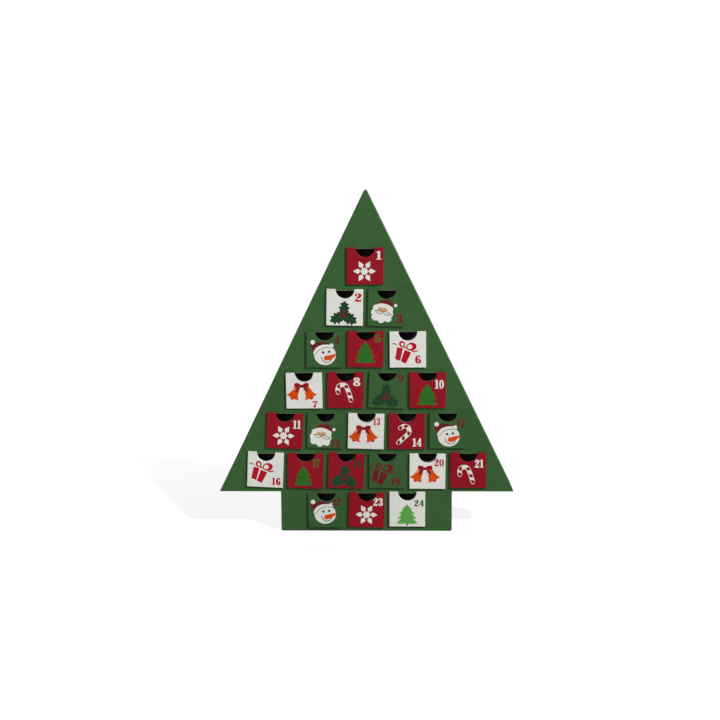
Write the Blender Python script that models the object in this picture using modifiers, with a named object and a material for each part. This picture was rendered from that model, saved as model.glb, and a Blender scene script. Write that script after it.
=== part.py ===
"""Advent calendar in the shape of a Christmas tree: a card cabinet with twenty-four drawers.

Metres, +Z up. The calendar stands on the ground plane with its drawers towards -Y. The origin is on the
ground, below the middle of the whole depth. Every outline is drawn as seen from the front, x to the right
and z up, and is given its thickness along y.
"""

from math import atan2, cos, pi, radians, sin, tan

import bmesh
import bpy
from mathutils import Vector

# Drawers in each row, from the tip of the tree down. The last row is in the trunk.
ROW_COUNTS = (1, 2, 3, 4, 5, 6, 3)

# Drawer fronts
FRONT_WIDTH = 0.0465
FRONT_HEIGHT = 0.0465
FRONT_THICKNESS = 0.003
FRONT_EDGE_BEVEL = 0.0004
GAP_BESIDE_FRONTS = 0.006
GAP_ABOVE_FRONTS = 0.0065
LAP_BESIDE = 0.0025  # how far a front covers the board on each side of its window
LAP_ABOVE = 0.0014
LAP_BELOW = 0.0030
NOTCH_RADIUS = 0.012

# Fronts that were glued on a little crooked: degrees, clockwise as seen from the front
FRONT_TILTS = {
    1: 0.2, 2: 1.1, 3: 2.0, 4: 0.5, 5: 0.8, 6: -0.3, 7: -0.5, 8: 0.8, 9: 2.0, 10: 0.2, 11: 2.4, 12: 1.3,
    13: 1.5, 14: -0.2, 16: 2.8, 17: 1.3, 18: 2.5, 20: 0.4, 21: -0.2, 23: 1.7, 24: 0.1,
}

# Fronts that were glued on a little off the middle of their trays: how far to the right and up
FRONT_SHIFTS = {
    1: (-0.0002, 0.0004), 2: (-0.0001, 0.0009), 5: (-0.0002, 0.0003), 6: (0.0013, -0.0003),
    7: (-0.0005, -0.0005), 9: (0.0008, 0), 10: (0.0004, -0.0001), 11: (-0.0001, -0.0003), 13: (0, -0.0008),
    14: (0.0001, -0.0010), 16: (0.0003, 0.0012), 17: (-0.0002, -0.0004), 18: (0.0003, -0.0002),
    19: (0.0010, 0), 20: (0.0006, -0.0009), 21: (0.0008, 0.0004), 23: (0.0003, 0.0003), 24: (0.0008, 0.0013),
}

# Outline of the tree
SLOPE_MARGIN_TOP = 0.0132  # from the top corner of the first row's front, level, to the slope
SLOPE_MARGIN_LOW = 0.0117  # the same for the widest row
TRUNK_MARGIN = 0.0357  # from the last row's fronts to the side of the trunk
BASE_MARGIN = 0.0054  # from the last row's fronts to the ground
EAVES_RISE = 0.0011  # from the top of the last row's fronts up to the eaves
TIP_RADIUS = 0.002
EAVES_RADIUS = 0.0006
BASE_RADIUS = 0.002

# Boards and card
CABINET_DEPTH = 0.050
BOARD = 0.0022
SHELF = 0.0020
DIVIDER = 0.0015
TRAY_WALL = 0.0012

# Clearances
GLUE_GAP = 0.0003  # between pieces that are glued face to face
TRAY_SIDE_PLAY = 0.0005
TRAY_REST_GAP = 0.0003
TRAY_HEADROOM = 0.0020
TRAY_BACK_PLAY = 0.0018

# Pitch of the drawers and height of the fronts
PITCH_X = FRONT_WIDTH + GAP_BESIDE_FRONTS
PITCH_Z = FRONT_HEIGHT + GAP_ABOVE_FRONTS
WINDOW_WIDTH = FRONT_WIDTH - 2 * LAP_BESIDE
WINDOW_HEIGHT = FRONT_HEIGHT - LAP_ABOVE - LAP_BELOW
LAST_ROW = len(ROW_COUNTS) - 1
EAVES_Z = BASE_MARGIN + FRONT_HEIGHT + EAVES_RISE

# Depth: the fronts stand proud of the cabinet, and y = 0 is the middle of the two together
WHOLE_DEPTH = FRONT_THICKNESS + GLUE_GAP + CABINET_DEPTH
FACE_Y = FRONT_THICKNESS + GLUE_GAP - WHOLE_DEPTH / 2
BACK_Y = FACE_Y + CABINET_DEPTH
INNER_FRONT_Y = FACE_Y + BOARD + GLUE_GAP
INNER_BACK_Y = BACK_Y - BOARD - GLUE_GAP

# Slopes: a straight line past the top corners of the first row and of the widest row
BRANCH_COUNTS = ROW_COUNTS[:LAST_ROW]
WIDEST_ROW = BRANCH_COUNTS.index(max(BRANCH_COUNTS))

GREEN = (0.042, 0.107, 0.038)
RED = (0.258, 0.013, 0.020)
WHITE = (0.660, 0.650, 0.610)
GREY_CARD = (0.300, 0.280, 0.250)
DARK_CARD = (0.020, 0.020, 0.022)
FRONT_COLOURS = {
    "red": (RED, (1, 5, 8, 10, 11, 14, 17, 18, 21, 23)),
    "white": (WHITE, (2, 6, 7, 13, 16, 20, 24)),
    "green": (GREEN, (3, 4, 9, 12, 15, 19, 22)),
}


def clear_scene():
    for obj in list(bpy.data.objects):
        bpy.data.objects.remove(obj, do_unlink=True)


def make_collection(name):
    collection = bpy.data.collections.new(name)
    bpy.context.scene.collection.children.link(collection)
    return collection


def make_material(name, colour, roughness):
    material = bpy.data.materials.new(name)
    material.use_nodes = True
    shader = material.node_tree.nodes["Principled BSDF"]
    shader.inputs["Base Color"].default_value = (*colour, 1)
    shader.inputs["Roughness"].default_value = roughness
    shader.inputs["Metallic"].default_value = 0
    return material


def front_top(row):
    """Height of the top edge of the fronts in a row, the first row being 0."""
    return BASE_MARGIN + FRONT_HEIGHT + (LAST_ROW - row) * PITCH_Z


def row_places(row):
    """x of the middle of each drawer in a row, from left to right."""
    count = ROW_COUNTS[row]
    return [(place - (count - 1) / 2) * PITCH_X for place in range(count)]


def shelf_top(row):
    """The shelf is level with the lower edge of the row's windows."""
    return front_top(row) - LAP_ABOVE - WINDOW_HEIGHT


def row_half_width(row):
    return (ROW_COUNTS[row] - 1) / 2 * PITCH_X + FRONT_WIDTH / 2


TOP_HALF = row_half_width(0) + SLOPE_MARGIN_TOP
LOW_HALF = row_half_width(WIDEST_ROW) + SLOPE_MARGIN_LOW
SLOPE = (LOW_HALF - TOP_HALF) / (front_top(0) - front_top(WIDEST_ROW))  # run for each unit of drop
TIP_Z = front_top(0) + TOP_HALF / SLOPE
EAVES_HALF = (TIP_Z - EAVES_Z) * SLOPE
TRUNK_HALF = row_half_width(LAST_ROW) + TRUNK_MARGIN
LEAN = atan2(SLOPE, 1)  # of the slopes from upright


def slope_x(z, inset=0.0):
    """x of the right slope at height z, moved in square to the slope by an inset."""
    return (TIP_Z - z) * SLOPE - inset / cos(LEAN)


def rounded(corners, radii, steps=4):
    """The outline through these corners, those with a radius turned in an arc of a few points."""
    points = []
    for i, (corner, radius) in enumerate(zip(corners, radii)):
        here = Vector(corner)
        before = Vector(corners[i - 1]) - here
        after = Vector(corners[(i + 1) % len(corners)]) - here
        if not radius:
            points.append(here)
            continue
        half_angle = before.angle(after) / 2
        reach = min(radius / tan(half_angle), 0.4 * before.length, 0.4 * after.length)
        centre = here + (before.normalized() + after.normalized()).normalized() * reach / cos(half_angle)
        start = here + before.normalized() * reach - centre
        sweep = start.angle_signed(here + after.normalized() * reach - centre)
        for step in range(steps + 1):
            turn = -sweep * step / steps
            points.append(centre + Vector((start.x * cos(turn) - start.y * sin(turn),
                                           start.x * sin(turn) + start.y * cos(turn))))
    return points


def box_outline(left, right, low, high):
    return [(right, high), (left, high), (left, low), (right, low)]


def board_object(name, outlines, y_front, y_back, material, collection):
    """A board drawn as seen from the front, with the first outline its edge and the others holes."""
    curve = bpy.data.curves.new(name, "CURVE")
    curve.dimensions = "2D"
    curve.fill_mode = "BOTH"
    curve.extrude = (y_back - y_front) / 2
    for outline in outlines:
        spline = curve.splines.new("POLY")
        spline.points.add(len(outline) - 1)
        for point, (x, z) in zip(spline.points, outline):
            point.co = (x, z, 0, 1)
        spline.use_cyclic_u = True
    curve.materials.append(material)
    board = bpy.data.objects.new(name, curve)
    board.rotation_euler = (pi / 2, 0, 0)
    board.location = (0, (y_front + y_back) / 2, 0)
    collection.objects.link(board)
    return board


def tree_outline():
    corners = [
        (0, TIP_Z),
        (EAVES_HALF, EAVES_Z),
        (TRUNK_HALF, EAVES_Z),
        (TRUNK_HALF, 0),
        (-TRUNK_HALF, 0),
        (-TRUNK_HALF, EAVES_Z),
        (-EAVES_HALF, EAVES_Z),
    ]
    radii = (TIP_RADIUS, EAVES_RADIUS, 0, BASE_RADIUS, BASE_RADIUS, 0, EAVES_RADIUS)
    return rounded(corners, radii)


def window_outlines():
    windows = []
    for row in range(len(ROW_COUNTS)):
        top = front_top(row) - LAP_ABOVE
        for x in row_places(row):
            half = WINDOW_WIDTH / 2
            windows.append(box_outline(x - half, x + half, top - WINDOW_HEIGHT, top))
    return windows


def make_faces(collection):
    outline = tree_outline()
    printed = make_material("printed_green_board", GREEN, 0.35)
    lining = make_material("green_lined_back", GREEN, 0.6)
    board_object("front_face", [outline] + window_outlines(), FACE_Y, FACE_Y + BOARD, printed, collection)
    board_object("back_board", [outline], BACK_Y - BOARD, BACK_Y, lining, collection)


def make_roof_wall(collection):
    """Both slopes in one strip, folded at the tip, standing on the branch floor."""
    foot = EAVES_Z + BOARD + GLUE_GAP
    inner_tip = TIP_Z - BOARD / sin(LEAN)
    corners = [
        (0, TIP_Z),
        (slope_x(foot), foot),
        (slope_x(foot, BOARD), foot),
        (0, inner_tip),
        (-slope_x(foot, BOARD), foot),
        (-slope_x(foot), foot),
    ]
    outline = rounded(corners, (TIP_RADIUS, 0, 0, 0, 0, 0))
    material = make_material("roof_wall_green", GREEN, 0.4)
    board_object("roof_wall", [outline], INNER_FRONT_Y, INNER_BACK_Y, material, collection)


def make_branch_floor(collection):
    """The board under the branches, its ends cut to the slopes."""
    top = EAVES_Z + BOARD
    corners = [
        (-EAVES_HALF, EAVES_Z),
        (EAVES_HALF, EAVES_Z),
        (slope_x(top), top),
        (-slope_x(top), top),
    ]
    outline = rounded(corners, (EAVES_RADIUS, EAVES_RADIUS, 0, 0))
    material = make_material("branch_floor_green", GREEN, 0.4)
    board_object("branch_floor", [outline], INNER_FRONT_Y, INNER_BACK_Y, material, collection)


def make_trunk_wall(collection):
    """Both sides of the trunk and its base in one strip, folded at the lower corners."""
    top = EAVES_Z - GLUE_GAP
    inner = TRUNK_HALF - BOARD
    corners = [
        (-TRUNK_HALF, 0),
        (TRUNK_HALF, 0),
        (TRUNK_HALF, top),
        (inner, top),
        (inner, BOARD),
        (-inner, BOARD),
        (-inner, top),
        (-TRUNK_HALF, top),
    ]
    outline = rounded(corners, (BASE_RADIUS, BASE_RADIUS, 0, 0, 0, 0, 0, 0))
    material = make_material("trunk_wall_green", GREEN, 0.4)
    board_object("trunk_wall", [outline], INNER_FRONT_Y, INNER_BACK_Y, material, collection)


def shelf_ends(row, z):
    """x where the shelf of a row ends at height z, just clear of the wall beside it."""
    if row == LAST_ROW:
        return TRUNK_HALF - BOARD - GLUE_GAP
    return slope_x(z, BOARD + GLUE_GAP)


def divider_top(row):
    """The dividers stop just short of the shelf of the row above, or of the branch floor."""
    if row == LAST_ROW:
        return EAVES_Z - GLUE_GAP
    return shelf_top(row) + PITCH_Z - SHELF - GLUE_GAP


def make_cell_row(row, collection):
    """A shelf from wall to wall, with dividers standing on it between the drawers and beside the outer ones."""
    top = shelf_top(row)
    bottom = top - SHELF
    high = divider_top(row)
    edge = [(-shelf_ends(row, bottom), bottom), (shelf_ends(row, bottom), bottom), (shelf_ends(row, top), top)]
    places = row_places(row)
    for x in reversed([places[0] - PITCH_X] + places):
        right = x + PITCH_X / 2 + DIVIDER / 2
        left = right - DIVIDER
        edge += [(right, top), (right, high), (left, high), (left, top)]
    edge.append((-shelf_ends(row, top), top))
    name = f"cell_row_{row + 1}"
    material = make_material(f"{name}_card", GREY_CARD, 0.85)
    board_object(name, [edge], INNER_FRONT_Y, INNER_BACK_Y, material, collection)


def front_outline():
    """A front about its own middle: a square with the half-round notch in its top edge."""
    half = FRONT_WIDTH / 2
    top = FRONT_HEIGHT / 2
    points = [(-half, -top), (half, -top), (half, top)]
    steps = 16
    for step in range(steps + 1):
        angle = -pi * step / steps
        points.append((NOTCH_RADIUS * cos(angle), top + NOTCH_RADIUS * sin(angle)))
    points.append((-half, top))
    return points


def make_front(number, x, top, colour, collection):
    """The square board that is glued to the tray and laps over the edge of the window."""
    name = f"front_{number:02d}"
    material = make_material(f"{name}_print", colour, 0.4)
    front = board_object(name, [front_outline()], 0, FRONT_THICKNESS, material, collection)
    right, up = FRONT_SHIFTS.get(number, (0, 0))
    front.location = (x + right, FACE_Y - GLUE_GAP - FRONT_THICKNESS / 2, top - FRONT_HEIGHT / 2 + up)
    front.rotation_euler = (pi / 2, radians(FRONT_TILTS.get(number, 0)), 0)
    weld = front.modifiers.new("join the faces to the rim", "WELD")
    weld.merge_threshold = 0.00001
    bevel = front.modifiers.new("eased edges", "BEVEL")
    bevel.width = FRONT_EDGE_BEVEL
    bevel.segments = 1
    bevel.limit_method = "ANGLE"
    bevel.angle_limit = radians(50)


def tray_mesh(name, width, depth, height):
    """An open-topped box of card, as a sheet with a thickness, its origin at the middle of its base."""
    mesh = bpy.data.meshes.new(name)
    shape = bmesh.new()
    bmesh.ops.create_cube(shape, size=1)
    bmesh.ops.scale(shape, vec=(width, depth, height), verts=shape.verts)
    bmesh.ops.translate(shape, vec=(0, 0, height / 2), verts=shape.verts)
    lid = [face for face in shape.faces if face.normal.z > 0.9]
    bmesh.ops.delete(shape, geom=lid, context="FACES_ONLY")
    shape.to_mesh(mesh)
    shape.free()
    return mesh


def notch_cutter(cutters):
    """A short cylinder along y that cuts the finger notch into a tray's front wall."""
    mesh = bpy.data.meshes.new("finger_notch_cutter")
    shape = bmesh.new()
    bmesh.ops.create_cone(shape, cap_ends=True, segments=32, radius1=NOTCH_RADIUS, radius2=NOTCH_RADIUS,
                          depth=4 * TRAY_WALL)
    shape.to_mesh(mesh)
    shape.free()
    cutter = bpy.data.objects.new("finger_notch_cutter", mesh)
    cutter.rotation_euler = (pi / 2, 0, 0)
    cutter.hide_render = True
    cutter.display_type = "WIRE"
    cutters.objects.link(cutter)
    return cutter


def make_tray(number, x, row, collection, cutters):
    """The card box behind a front. Its front wall stands in the window."""
    name = f"tray_{number:02d}"
    floor = shelf_top(row) + TRAY_REST_GAP
    width = WINDOW_WIDTH - 2 * TRAY_SIDE_PLAY
    height = WINDOW_HEIGHT - TRAY_REST_GAP - TRAY_HEADROOM
    depth = CABINET_DEPTH - BOARD - TRAY_BACK_PLAY
    mesh = tray_mesh(name, width, depth, height)
    mesh.materials.append(make_material(f"{name}_card", DARK_CARD, 0.8))
    tray = bpy.data.objects.new(name, mesh)
    tray.location = (x, FACE_Y + depth / 2, floor)
    collection.objects.link(tray)
    card = tray.modifiers.new("card thickness", "SOLIDIFY")
    card.thickness = TRAY_WALL
    card.offset = -1
    card.use_even_offset = True
    cutter = notch_cutter(cutters)
    cutter.location = (x, FACE_Y + TRAY_WALL / 2, front_top(row))
    notch = tray.modifiers.new("finger notch", "BOOLEAN")
    notch.operation = "DIFFERENCE"
    notch.solver = "EXACT"
    notch.object = cutter


def front_colour(number):
    for colour, numbers in FRONT_COLOURS.values():
        if number in numbers:
            return colour
    return GREEN


def make_drawers(collection, cutters):
    number = 0
    for row in range(len(ROW_COUNTS)):
        for x in row_places(row):
            number += 1
            make_tray(number, x, row, collection, cutters)
            make_front(number, x, front_top(row), front_colour(number), collection)


def main():
    clear_scene()
    parts = make_collection("christmas_tree_advent_calendar")
    cutters = make_collection("cutters")
    make_faces(parts)
    make_roof_wall(parts)
    make_branch_floor(parts)
    make_trunk_wall(parts)
    for row in range(len(ROW_COUNTS)):
        make_cell_row(row, parts)
    make_drawers(parts, cutters)
    cutters.hide_render = True
    print(f"height {TIP_Z * 1000:.1f} mm to the sharp tip, eaves {2 * EAVES_HALF * 1000:.1f} mm wide,")
    print(f"trunk {2 * TRUNK_HALF * 1000:.1f} mm wide, depth {WHOLE_DEPTH * 1000:.1f} mm")


main()
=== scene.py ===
# %% [markdown]
# This notebook gives a card advent calendar its looks. The calendar is a cabinet in the shape of a fir
# tree, with twenty-four small drawers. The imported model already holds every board, shelf and drawer at
# its real size, so nothing is moved or resized here: pieces are dressed, and plain ones are replaced by
# finer ones in the same place.

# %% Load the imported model
from math import atan2, cos, degrees, pi, radians, sin

import bmesh
import bpy
from mathutils import Euler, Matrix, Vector
from mathutils.geometry import convex_hull_2d, delaunay_2d_cdt


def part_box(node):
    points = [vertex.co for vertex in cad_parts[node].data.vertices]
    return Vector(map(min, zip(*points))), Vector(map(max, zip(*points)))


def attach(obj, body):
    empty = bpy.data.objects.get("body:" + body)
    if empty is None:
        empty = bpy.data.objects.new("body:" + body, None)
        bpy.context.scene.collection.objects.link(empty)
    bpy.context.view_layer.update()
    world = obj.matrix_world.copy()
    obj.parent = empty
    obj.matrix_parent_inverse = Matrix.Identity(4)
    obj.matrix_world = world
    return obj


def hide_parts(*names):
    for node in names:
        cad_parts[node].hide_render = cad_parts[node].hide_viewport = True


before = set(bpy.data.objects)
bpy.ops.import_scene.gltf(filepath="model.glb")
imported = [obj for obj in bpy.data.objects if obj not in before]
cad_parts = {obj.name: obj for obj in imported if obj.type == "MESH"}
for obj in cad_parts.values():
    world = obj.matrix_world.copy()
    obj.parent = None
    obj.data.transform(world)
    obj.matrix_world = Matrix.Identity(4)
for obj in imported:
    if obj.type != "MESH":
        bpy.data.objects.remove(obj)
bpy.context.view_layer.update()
MM = 0.001
DRAWERS = range(1, 25)
ROWS = range(1, 8)

# %% [markdown]
# The camera comes first, because every later choice is judged through it. The photograph was taken from a
# little above, with a normal lens at about a metre and a half, so the rows shrink slightly towards the
# foot. A camera could be placed by eye, but then the render and the photograph could never be laid over
# each other. So the aim, the three turns and the lens were worked out from the places of the finger
# notches and the corners of the tree.

# %% The camera
CAMERA_DISTANCE = 1.5
CAMERA_AIM = Vector((-0.0073, -0.0233, 0.2265))
CAMERA_YAW = radians(1.41)
CAMERA_PITCH = radians(9.04)
CAMERA_ROLL = radians(-0.31)
CAMERA_LENS = 58.6
SENSOR_WIDTH = 36
NEAREST_SEEN = 0.05


def placed(name, data):
    """A new object of the scene that holds this data."""
    thing = bpy.data.objects.new(name, data)
    bpy.context.scene.collection.objects.link(thing)
    return thing


def make_camera():
    data = bpy.data.cameras.new("photo_camera")
    data.lens = CAMERA_LENS
    data.sensor_width = SENSOR_WIDTH
    data.clip_start = NEAREST_SEEN
    camera = placed("photo_camera", data)
    level = cos(CAMERA_PITCH)
    look = Vector((-sin(CAMERA_YAW) * level, cos(CAMERA_YAW) * level, -sin(CAMERA_PITCH)))
    turn = look.to_track_quat("-Z", "Y").to_matrix().to_4x4()
    camera.matrix_world = turn @ Euler((0, 0, CAMERA_ROLL)).to_matrix().to_4x4()
    camera.location = CAMERA_AIM - look * CAMERA_DISTANCE
    bpy.context.scene.camera = camera
    return camera


camera = make_camera()
print("the camera is", round(camera.location.z, 3), "m above the floor")

# %% [markdown]
# A finish is a tree of shader nodes. It could be written node by node, but that hides what it computes,
# so two small classes keep it readable. The first is a Value: it wraps one socket and takes part in
# ordinary sums, each of which adds a Math node.

# %% Sums on sockets


class Value:
    """One output socket of a finish, which can be added, multiplied and so on."""

    def __init__(self, finish, socket):
        self.finish = finish
        self.socket = socket

    def combine(self, operation, first, second):
        return self.finish.node("Math", {"operation": operation}, {0: first, 1: second})

    def __add__(self, other):
        return self.combine("ADD", self, other)

    def __radd__(self, other):
        return self.combine("ADD", other, self)

    def __sub__(self, other):
        return self.combine("SUBTRACT", self, other)

    def __rsub__(self, other):
        return self.combine("SUBTRACT", other, self)

    def __mul__(self, other):
        return self.combine("MULTIPLY", self, other)

    def __rmul__(self, other):
        return self.combine("MULTIPLY", other, self)

    def larger(self, other):
        return self.combine("MAXIMUM", self, other)

    def above(self, low, high):
        """0 below low, 1 above high and a smooth step between them."""
        return self.finish.node("MapRange", {"interpolation_type": "SMOOTHSTEP"},
                                {"Value": self, "From Min": low, "From Max": high})

# %% [markdown]
# The second class, a Finish, is the node tree of one material or of the world. Its method called node is
# the only way in which nodes are added: it takes the node's type, its settings, and the numbers or links
# of its sockets. Noise could follow an unwrapped image of each piece. Here it follows the object's own
# space, measured in metres, so the grain is as fine on a small drawer as on the large board, and nothing
# has to be unwrapped.

# %% The tree of a finish


class Finish:
    """The node tree of a material or of the world."""

    def __init__(self, owner):
        owner.use_nodes = True
        self.owner = owner
        self.tree = owner.node_tree
        self.tree.nodes.clear()

    def node(self, kind, settings, inputs, output=0):
        """Adds a node of the type ShaderNode + kind, and gives one of its outputs."""
        node = self.tree.nodes.new("ShaderNode" + kind)
        for name, setting in settings.items():
            setattr(node, name, setting)
        for name, given in inputs.items():
            if isinstance(given, Value):
                self.tree.links.new(given.socket, node.inputs[name])
            else:
                node.inputs[name].default_value = given
        return Value(self, node.outputs[output]) if node.outputs else None

    def noise(self, size, detail=2.0, roughness=0.5, stretch=(1, 1, 1)):
        """Cloudy noise from 0 to 1 whose blotches are about this size, in metres."""
        place = self.node("TexCoord", {}, {}, "Object")
        scale = [part / size for part in stretch]
        spot = self.node("Mapping", {}, {"Vector": place, "Scale": scale})
        return self.node("TexNoise", {},
                         {"Vector": spot, "Scale": 1.0, "Detail": detail, "Roughness": roughness})

    def mix(self, share, first, second):
        """The first colour where share is 0 and the second where it is 1."""
        return self.node("Mix", {"data_type": "RGBA"}, {0: share, 6: first, 7: second}, 2)

    def seen_directly(self):
        """1 for rays from the camera, in a mirror or through glass, and 0 for the rays that light things."""
        camera, glossy, through = (self.node("LightPath", {}, {}, f"Is {ray} Ray")
                                   for ray in ("Camera", "Glossy", "Transmission"))
        return camera.larger(glossy).larger(through)


def shade(colour, factor):
    """A colour made lighter or darker, with a full alpha."""
    return [min(1.0, part * factor) for part in colour[:3]] + [1.0]


# %% [markdown]
# Everything that shows is printed paper pasted over grey board. The sheet is faintly glossy, and its
# colour is never quite even: the board's fibres show through as a fine mottle, and large areas drift a
# little. A picture of paper could give that, but it would blur close by and repeat on a large board. So
# noise of several sizes makes it, and as bump the same noise gives the grain of the paper and the slight
# waves of a pasted sheet. Along the edges, where the sheet is turned over, the ink cracks and thins, so
# edges take the same finish with wear turned up. Each noise is one half on average, and the sums allow
# for that, so a finish keeps its colour and its roughness overall.

# %% Printed paper
GRAIN = 0.0006
MOTTLE = 0.006
DRIFT = 0.09
PASTE_WAVE = 0.014
RUB = 0.0022
RUBBED_FROM = 0.64
RUBBED_TO = 0.78
BARE_PAPER = (0.50, 0.49, 0.45)
PAPER_ROUGHNESS = 0.42
PAPER_MOTTLE = 0.10
PAPER_GLOSS = 0.12
PAPER_RELIEF = 0.00016
CLOUDS_DULL = 0.12
FIBRES_DULL = 0.10
FIBRES_RAISE = 0.12
SPREAD = 1.5


def surface_of(finish, colour, roughness, relief, height, gloss):
    bump = finish.node("Bump", {}, {"Height": relief, "Distance": height})
    surface = finish.node("BsdfPrincipled", {}, {
        "Base Color": colour, "Roughness": roughness, "Normal": bump, "Specular IOR Level": gloss})
    finish.node("OutputMaterial", {}, {"Surface": surface})
    return finish.owner


def printed_paper(name, colour, roughness=PAPER_ROUGHNESS, wear=0.0, mottle=PAPER_MOTTLE, gloss=PAPER_GLOSS):
    finish = Finish(bpy.data.materials.new(name))
    fibres = finish.noise(GRAIN, detail=3.0, roughness=0.6)
    clouds = finish.noise(MOTTLE, detail=3.0)
    drift = finish.noise(DRIFT, detail=1.0)
    uneven = fibres + clouds * SPREAD + drift * SPREAD - SPREAD
    ink = finish.mix(uneven, shade(colour, 1 - mottle), shade(colour, 1 + mottle))
    if wear:
        spots = finish.noise(RUB, detail=4.0, roughness=0.7)
        rubbed = spots.above(RUBBED_FROM - 0.2 * wear, RUBBED_TO - 0.1 * wear)
        ink = finish.mix(rubbed * wear, ink, shade(BARE_PAPER, 1))
    even = roughness - (CLOUDS_DULL + FIBRES_DULL) / 2
    dull = clouds * CLOUDS_DULL + fibres * FIBRES_DULL + even
    relief = finish.noise(PASTE_WAVE, detail=1.0) + fibres * FIBRES_RAISE
    return surface_of(finish, ink, dull, relief, PAPER_RELIEF, gloss)


# %% [markdown]
# Inside, the card is bare. Grey board is pressed from waste paper, so it is full of darker and lighter
# flecks and is quite matt. In one flat colour it would look like plastic. A cloudy noise for the pulp, a
# drawn-out one for the fibres and a cut-off one for the flecks are enough to turn it into board. The
# trays are a smooth, very dark grey card. It lies in the shade of the fronts, so from the front the
# finger notches look like black half moons.

# %% Bare card
PULP = 0.0015
PULP_FIBRE = 0.0012
FLECK = 0.0008
FLECK_SHADE = 0.45
CARD_ROUGHNESS = 0.8
CARD_GLOSS = 0.2
CARD_RELIEF = 0.0001


def bare_card(name, colour, contrast=0.35):
    finish = Finish(bpy.data.materials.new(name))
    pulp = finish.noise(PULP, detail=5.0, roughness=0.7)
    fibres = finish.noise(PULP_FIBRE, detail=2.0, stretch=(1, 1, 6))
    flecks = finish.noise(FLECK, detail=1.0).above(0.66, 0.72)
    tone = finish.mix(pulp, shade(colour, 1 - contrast), shade(colour, 1 + contrast))
    tone = finish.mix(flecks * 0.5, tone, shade(colour, FLECK_SHADE))
    return surface_of(finish, tone, pulp * 0.1 + CARD_ROUGHNESS, pulp + fibres * 0.6, CARD_RELIEF, CARD_GLOSS)


# %% [markdown]
# The printer's inks. Each is a plain colour, given here as linear light, which is what the renderer
# counts in. The prints could be painted into one image for the whole calendar. A finish for each ink
# needs no image, and it lets every print be real geometry, as sharp as the cut of a stencil. The ground
# of a drawer and the motif on it are the same sheet, so their finishes differ in colour alone. The
# cabinet is covered in duller paper at its walls and back, and what lies bare is grey board or dark card.

# %% Inks
INKS = {
    "red": (0.252, 0.003, 0.012),
    "white": (0.712, 0.712, 0.664),
    "green": (0.033, 0.094, 0.027),
    "leaf_green": (0.019, 0.125, 0.009),
    "fir_green": (0.100, 0.330, 0.062),
    "holly_green": (0.005, 0.041, 0.014),
    "vein_green": (0.014, 0.070, 0.032),
    "dark_red": (0.130, 0.007, 0.011),
    "ruby": (0.400, 0.004, 0.018),
    "orange": (0.660, 0.066, 0.002),
    "deep_orange": (0.400, 0.030, 0.004),
    "skin": (0.560, 0.350, 0.180),
    "deep_skin": (0.520, 0.150, 0.060),
    "line": (0.020, 0.020, 0.022),
    "soft_line": (0.110, 0.115, 0.120),
}
SLOTS = {"red": "printed_red", "white": "printed_white", "green": "printed_front_green"}
WHITE_MOTTLE = 0.045
FACE_MOTTLE = 0.12
BACK_MOTTLE = 0.14
FRONT_WEAR = 0.35
CABINET_WEAR = 0.5
WALL_ROUGHNESS = 0.62
BACK_ROUGHNESS = 0.60
BACK_SHADE = 0.86
DULL_GLOSS = 0.03
GREY_BOARD = (0.300, 0.280, 0.250)
DARK_CARD = (0.100, 0.100, 0.108)
DARK_CONTRAST = 0.2

ink_finishes = {}
for name, colour in INKS.items():
    mottle = WHITE_MOTTLE if name == "white" else PAPER_MOTTLE
    ink_finishes[name] = printed_paper(f"ink_{name}", colour, mottle=mottle)
edge_finishes = {name: printed_paper(f"edge_{name}", INKS[name], wear=FRONT_WEAR) for name in SLOTS}
cabinet_paper = printed_paper("cabinet_green_paper", INKS["green"], mottle=FACE_MOTTLE)
cabinet_edge = printed_paper("cabinet_green_edge", INKS["green"], wear=CABINET_WEAR)
wall_paper = printed_paper("wall_green_paper", INKS["green"], WALL_ROUGHNESS, mottle=FACE_MOTTLE,
                           gloss=DULL_GLOSS)
back_paper = printed_paper("back_green_paper", shade(INKS["green"], BACK_SHADE), BACK_ROUGHNESS,
                           mottle=BACK_MOTTLE, gloss=DULL_GLOSS)
grey_board = bare_card("grey_board", GREY_BOARD)
black_card = bare_card("black_card", DARK_CARD, DARK_CONTRAST)
print(len(bpy.data.materials), "finishes so far")

# %% [markdown]
# The boards of the cabinet are right as they are, apart from their knife-sharp edges: paper pasted over
# board gives an edge a radius of about half a millimetre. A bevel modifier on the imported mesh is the
# quick way, but it also meets the many short edges between that mesh's triangles. So a dressed copy of a
# board is its own mesh: it is cleaned first, and then only its sharp edges are bevelled.

# %% Boards with soft edges
BOARD_EDGE = 0.0005
JOIN_WITHIN = 0.00001
FLAT_WITHIN = radians(1)


def solid_shape(node):
    """The mesh of a CAD node with its corners joined and its flat faces whole."""
    shape = bmesh.new()
    shape.from_mesh(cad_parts[node].data)
    bmesh.ops.remove_doubles(shape, verts=shape.verts, dist=JOIN_WITHIN)
    bmesh.ops.dissolve_limit(shape, angle_limit=FLAT_WITHIN, verts=shape.verts, edges=shape.edges)
    return shape


def soften(shape, width, segments=3, least_angle=40):
    """Rounds the edges that turn by more than this many degrees."""
    sharp = [edge for edge in shape.edges
             if edge.is_manifold and edge.calc_face_angle() > radians(least_angle)]
    bmesh.ops.bevel(shape, geom=sharp, offset=width, segments=segments, profile=0.5, affect="EDGES",
                    clamp_overlap=True)

# %% [markdown]
# Every new piece takes the same steps: a mesh, an object, its finishes and the body that it rides on. They
# are written once. Smooth shading alone would make the large flat faces look swollen beside the bevels.
# Splitting them off would lose the soft edge, so weighted normals are used: they keep the flat faces flat,
# and only the bevels catch a line of light.

# %% From a shape to a piece
HIGHEST_WEIGHT = 100


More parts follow.
